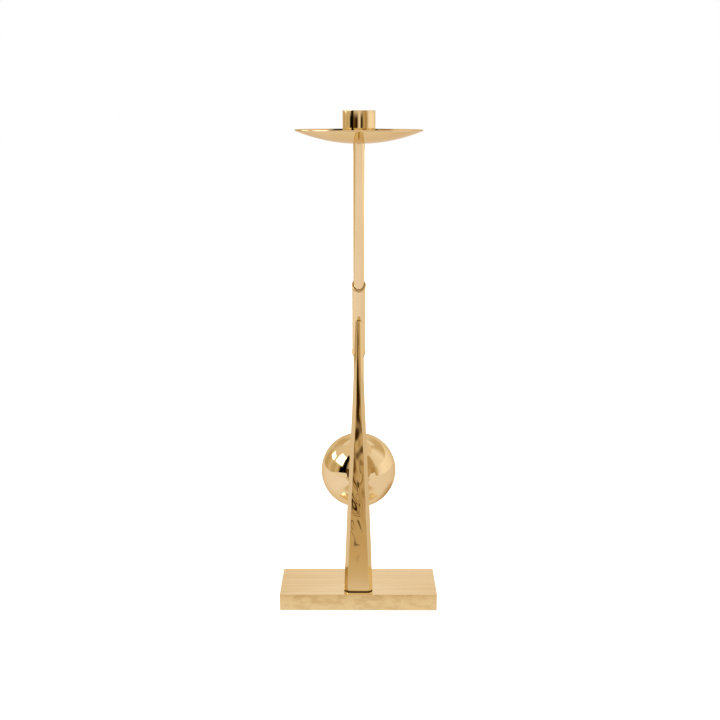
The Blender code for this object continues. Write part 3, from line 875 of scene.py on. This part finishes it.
LOW_OPENING = [
    (-180, WHITE),
    (-36, WHITE),
    (-33, (0.70, 0.58, 0.38)),
    (-22, (0.66, 0.54, 0.33)),
    (-19, (0.40, 0.27, 0.12)),
    (-18, (0.12, 0.06, 0.02)),
    (-17, (0.40, 0.27, 0.12)),
    (-14, (0.60, 0.47, 0.27)),
    (-10, (0.46, 0.34, 0.17)),
    (-8, (0.06, 0.02, 0.0)),
    (-6, (0.14, 0.07, 0.02)),
    (-4, (0.50, 0.37, 0.19)),
    (-1, (0.68, 0.56, 0.35)),
    (4, (0.72, 0.60, 0.40)),
    (7, (0.48, 0.36, 0.18)),
    (8, (0.16, 0.09, 0.03)),
    (9, (0.48, 0.36, 0.18)),
    (12, (0.68, 0.55, 0.34)),
    (20, (0.52, 0.40, 0.22)),
    (22, (0.26, 0.17, 0.07)),
    (24, (0.52, 0.40, 0.22)),
    (30, (0.70, 0.58, 0.38)),
    (36, WHITE),
]
WALL_EDGE = [
    (-180, 0.0),
    (-104, 0.0),
    (-89, 0.02),
    (-66, 0.13),
    (-45, 0.19),
    (-37, 0.19),
    (-35, 0.0),
    (33, 0.0),
    (36, 0.16),
    (52, 0.20),
    (55, 0.0),
]
HIGH_BACK = [
    (-20.0, WHITE),
    (-7.9, (0.95, 0.90, 0.84)),
    (-7.4, (0.42, 0.30, 0.13)),
    (-4.8, (0.42, 0.30, 0.13)),
    (-4.5, (0.90, 0.84, 0.74)),
    (-4.1, BLACK),
    (-2.0, BLACK),
    (-1.6, WHITE),
    (1.9, WHITE),
    (2.3, BLACK),
    (5.1, BLACK),
    (5.4, WHITE),
    (6.0, WHITE),
    (6.4, BLACK),
    (8.6, BLACK),
    (9.0, WHITE),
]
WALL_RADIUS = 1.0
WALL_HEIGHT = 1.6
WALL_SIDES = 96
WINDOW = (5.0, 5.0, 5.0)

# %% Where the parts of the studio lie
# Lengths are metres and directions degrees. A pair is where a part fades in, or where its two
# sides are. FRONT_SWING is degrees for each metre up, and ROOM_SWING degrees for each degree up.
UPPER_FROM = (0.43, 0.50)
FRONT_TOP = (0.14, 0.18)
FRONT_SIDES = (-17.0, 20.0)
FRONT_SWING = 39.0
FRONT_TURN = 1.4
BACK_FROM = (1.10, 1.14)
BACK_DEPTH = (0.5, 0.7)
BACK_SPAN = 40.0
NARROW_PANE = ((-118.0, -99.0), (0.47, 0.68))
WIDE_PANE = ((-87.0, -58.0), (0.55, 1.2))
ROOM_SWING = 1.25
ROOM_LEVEL = 10.0
OPENINGS_MEET = (-14.3, -12.8)
ROOM_FLOOR = (-22.0, -19.0)
OVERHEAD = (40.0, 55.0)
WINDOW_SIDES = (-118.0, -58.0)
WINDOW_RISE = (20.0, 48.0)


def by_azimuth(sheet, azimuth, stops, span=360.0):
    """A colour by azimuth in degrees, with 0 in the middle of the span. A ramp stops at 1, so it
    holds half of each colour and is doubled afterwards."""
    halves = [(place / span + 0.5, tuple(c / 2 for c in colour)) for place, colour in stops]
    ramp = sheet.add("ShaderNodeValToRGB", {"stops": halves}, {0: azimuth / span + 0.5})
    return sheet.add("ShaderNodeVectorMath", {"operation": "SCALE"}, {0: ramp, "Scale": 2.0})


def split(sheet, vector):
    """The three parts of a vector or a colour, each as its own wire."""
    return [sheet.add("ShaderNodeSeparateXYZ", {}, {0: vector}, out=axis) for axis in "XYZ"]


def azimuth_of(sheet, x, y):
    """The direction of a point in degrees: 0 towards -Y, 90 towards +X."""
    return sheet.add("ShaderNodeMath", {"operation": "ARCTAN2"}, {0: x, 1: 0 - y}) * math.degrees(1.0)


def warm(sheet, colour):
    """The lamps are warm, so all that the brass reflects is tinted alike."""
    return sheet.add("ShaderNodeVectorMath", {"operation": "MULTIPLY"}, {0: colour, 1: LAMP})


def tent_wall():
    """The wall's light by azimuth and height: white below its edge, one ramp at the cup's level and
    one above it, the lines of the front opening low down, the marks high at the back, and the two
    panes. The lines lean, because the azimuth that they are read at swings with the height."""
    made, sheet = material("tent_cloth")
    x, y, z = split(sheet, sheet.add("ShaderNodeTexCoord", out="Object"))
    azimuth = azimuth_of(sheet, x, y)
    edge = by_azimuth(sheet, azimuth, [(place, (height,) * 3) for place, height in WALL_EDGE])
    above_edge = (z - split(sheet, edge)[0]).step(0.0, 0.02)
    colour = sheet.mix(above_edge, WHITE, by_azimuth(sheet, azimuth, CUP_LEVEL_WALL))
    colour = sheet.mix(z.step(*UPPER_FROM), colour, by_azimuth(sheet, azimuth, UPPER_WALL))
    low_front = (1 - z.step(*FRONT_TOP)) * azimuth.within(*FRONT_SIDES, 3.0)
    swung = azimuth + z * FRONT_SWING - FRONT_TURN
    colour = sheet.mix(low_front, colour, by_azimuth(sheet, swung, FRONT_OPENING))
    high_back = z.step(*BACK_FROM) * y.step(*BACK_DEPTH)
    from_back = azimuth_of(sheet, x, 0 - y)
    colour = sheet.mix(high_back, colour, by_azimuth(sheet, from_back, HIGH_BACK, BACK_SPAN))
    narrow = azimuth.within(*NARROW_PANE[0], 2.0) * z.within(*NARROW_PANE[1], 0.02)
    wide = azimuth.within(*WIDE_PANE[0], 2.0) * z.within(*WIDE_PANE[1], 0.03)
    colour = sheet.mix(narrow + wide, colour, WINDOW)
    light = sheet.add("ShaderNodeEmission", {}, {"Color": warm(sheet, colour)})
    sheet.add("ShaderNodeOutputMaterial", {}, {"Surface": light})
    return made


def room():
    """Beyond the wall, by direction: the two stretches of the front opening one above the other, cool
    white below them, white all round, and tan overhead. Matt surfaces see plain white and the
    window, and the camera sees plain white."""
    world = bpy.data.worlds.new("room")
    world.use_nodes = True
    sheet = Sheet(world.node_tree)
    x, y, z = split(sheet, sheet.add("ShaderNodeTexCoord", out="Generated"))
    azimuth = azimuth_of(sheet, x, y)
    elevation = sheet.add("ShaderNodeMath", {"operation": "ARCSINE"}, {0: z}) * math.degrees(1.0)
    swung = azimuth + (elevation + ROOM_LEVEL) * ROOM_SWING
    low, high = by_azimuth(sheet, azimuth, LOW_OPENING), by_azimuth(sheet, swung, FRONT_OPENING)
    opening = sheet.mix(elevation.step(*OPENINGS_MEET), low, high)
    colour = sheet.mix(elevation.step(*ROOM_FLOOR), COOL_WHITE, opening)
    colour = warm(sheet, sheet.mix(elevation.step(*OVERHEAD), colour, TAN))
    on_matt = sheet.add("ShaderNodeLightPath", out="Is Diffuse Ray")
    window = azimuth.within(*WINDOW_SIDES, 2.0) * elevation.within(*WINDOW_RISE, 2.0) * on_matt
    seen = sheet.add("ShaderNodeLightPath", out="Is Camera Ray")
    colour = sheet.mix(window, sheet.mix(on_matt, colour, WHITE), WINDOW)
    colour = sheet.mix(seen, colour, WHITE)
    light = sheet.add("ShaderNodeBackground", {}, {"Color": colour})
    sheet.add("ShaderNodeOutputWorld", {}, {"Surface": light})
    return world


def only_reflected(piece):
    """Part of the studio that shows in polished metal and nowhere else."""
    piece.visible_camera = piece.visible_diffuse = piece.visible_shadow = False


scene = bpy.context.scene
scene.world = room()
around = np.linspace(0.0, math.tau, WALL_SIDES + 1)
low_ring = np.stack([WALL_RADIUS * np.sin(around), -WALL_RADIUS * np.cos(around), 0 * around], -1)
points = np.concatenate([low_ring, low_ring + (0.0, 0.0, WALL_HEIGHT)])
first = np.arange(WALL_SIDES)
above = first + WALL_SIDES + 1
mesh = bpy.data.meshes.new("tent_wall")
mesh.from_pydata(points, [], np.stack([first, first + 1, above + 1, above], -1).tolist())
mesh.materials.append(tent_wall())
wall = bpy.data.objects.new("tent_wall", mesh)
scene.collection.objects.link(wall)
only_reflected(wall)

# %% [markdown]
# ## Table, floor and camera
#
# The pale floor runs far out for the camera. It glows a little, as paper on a light table does, so
# that it stays white to its far edge. What the brass sees is a separate sheet: a white table that
# ends a forearm's length in front of the holder, with a strip of brown cloth from the holder to its
# front edge, and the holder's own soft shadow at the back on the right. The camera is a 50 mm lens
# level with the cup's mouth, tilted down until base and cup both fit.

# %% Floor, table and camera
FLOOR_LOW = (-12.0, -12.0)
FLOOR_HIGH = (12.0, 12.0)
FLOOR_LEVEL = -0.2 * MM
TABLE_LOW = (-1.5, -0.33)
TABLE_HIGH = (1.5, 1.6)
TABLE_LEVEL = -0.05 * MM
CARD_GLOW = 0.75
SHADOW_MIDDLE = (0.10, 0.13, 0.0)
SHADOW_BROWN = (0.62, 0.48, 0.28)
FOLD_BROWN = (0.12, 0.06, 0.02)
CLOTH_REACH = 0.33
CLOTH = [
    (0.0, WHITE),
    (0.045, (0.97, 0.95, 0.88)),
    (0.062, (0.88, 0.83, 0.73)),
    (0.088, (0.76, 0.66, 0.48)),
    (0.115, (0.74, 0.62, 0.42)),
    (0.150, (0.70, 0.57, 0.35)),
    (0.230, (0.66, 0.53, 0.32)),
    (0.300, (0.60, 0.47, 0.27)),
]


def paper(name):
    """Matt white card, lit through from below, so that the holder throws hardly any shadow on it."""
    made, sheet = material(name)
    tooth = sheet.noise(sheet.place(), 400.0, 2.0)
    colour = sheet.mix(tooth, (0.61, 0.61, 0.61), (0.63, 0.63, 0.63))
    values = {"Base Color": colour, "Roughness": 1.0, "Specular IOR Level": 0.0}
    values |= {"Emission Color": (1.0, 1.0, 1.0, 1.0), "Emission Strength": CARD_GLOW}
    shade(sheet, values)
    return made


def table_picture():
    """White card, cooler on the left, with the cloth's colour by its distance in front, its folds as
    dark lines on the left where a slow noise crosses its middle, and a soft brown shadow."""
    made, sheet = material("table_picture")
    own = sheet.add("ShaderNodeTexCoord", out="Object")
    x, y, _ = split(sheet, own)
    ahead = 0 - y
    stops = [(place / CLOTH_REACH, colour) for place, colour in CLOTH]
    ramp = sheet.add("ShaderNodeValToRGB", {"stops": stops}, {0: ahead / CLOTH_REACH})
    folds = sheet.noise(own, 15.0, 0.0)
    lines = folds.within(0.485, 0.495, 0.045) * ahead.step(0.11, 0.15) * (1 - x.step(-0.01, 0.01))
    cloth = sheet.mix(lines * lines, ramp, FOLD_BROWN)
    card = sheet.mix(x.step(-0.05, 0.15), (1.05, 1.05, 1.15), (0.98, 0.96, 0.98))
    colour = sheet.mix(x.within(-0.09, 0.09, 0.04), card, cloth)
    ends = {0: own, 1: SHADOW_MIDDLE}
    away = sheet.add("ShaderNodeVectorMath", {"operation": "DISTANCE"}, ends, out="Value")
    colour = sheet.mix((1 - away.step(0.02, 0.10)) * 0.8, colour, SHADOW_BROWN)
    light = sheet.add("ShaderNodeEmission", {}, {"Color": warm(sheet, colour)})
    sheet.add("ShaderNodeOutputMaterial", {}, {"Surface": light})
    return made


def panel(name, low, high, level, finish):
    """A flat rectangle of the studio, from its low to its high corner."""
    mesh = bpy.data.meshes.new(name)
    (left, front), (right, back) = low, high
    points = [(left, front, level), (right, front, level), (right, back, level), (left, back, level)]
    mesh.from_pydata(points, [], [(0, 1, 2, 3)])
    made = bpy.data.objects.new(name, mesh)
    mesh.materials.append(finish)
    scene.collection.objects.link(made)
    return made


floor = panel("floor", FLOOR_LOW, FLOOR_HIGH, FLOOR_LEVEL, paper("white_card"))
floor.visible_glossy = False
only_reflected(panel("table", TABLE_LOW, TABLE_HIGH, TABLE_LEVEL, table_picture()))

CAMERA_PLACE = (0.75 * MM, -811.0 * MM, 413.9 * MM)
CAMERA_TILT = math.radians(13.71)
CAMERA_ROLL = math.radians(-0.1)
camera_data = bpy.data.cameras.new("camera")
camera_data.lens = 50.0
camera_data.sensor_width = 36.0
camera = bpy.data.objects.new("camera", camera_data)
camera.location = CAMERA_PLACE
camera.rotation_euler = (math.pi / 2 - CAMERA_TILT, CAMERA_ROLL, 0.0)
scene.collection.objects.link(camera)
scene.camera = camera
scene.view_settings.view_transform = "Standard"
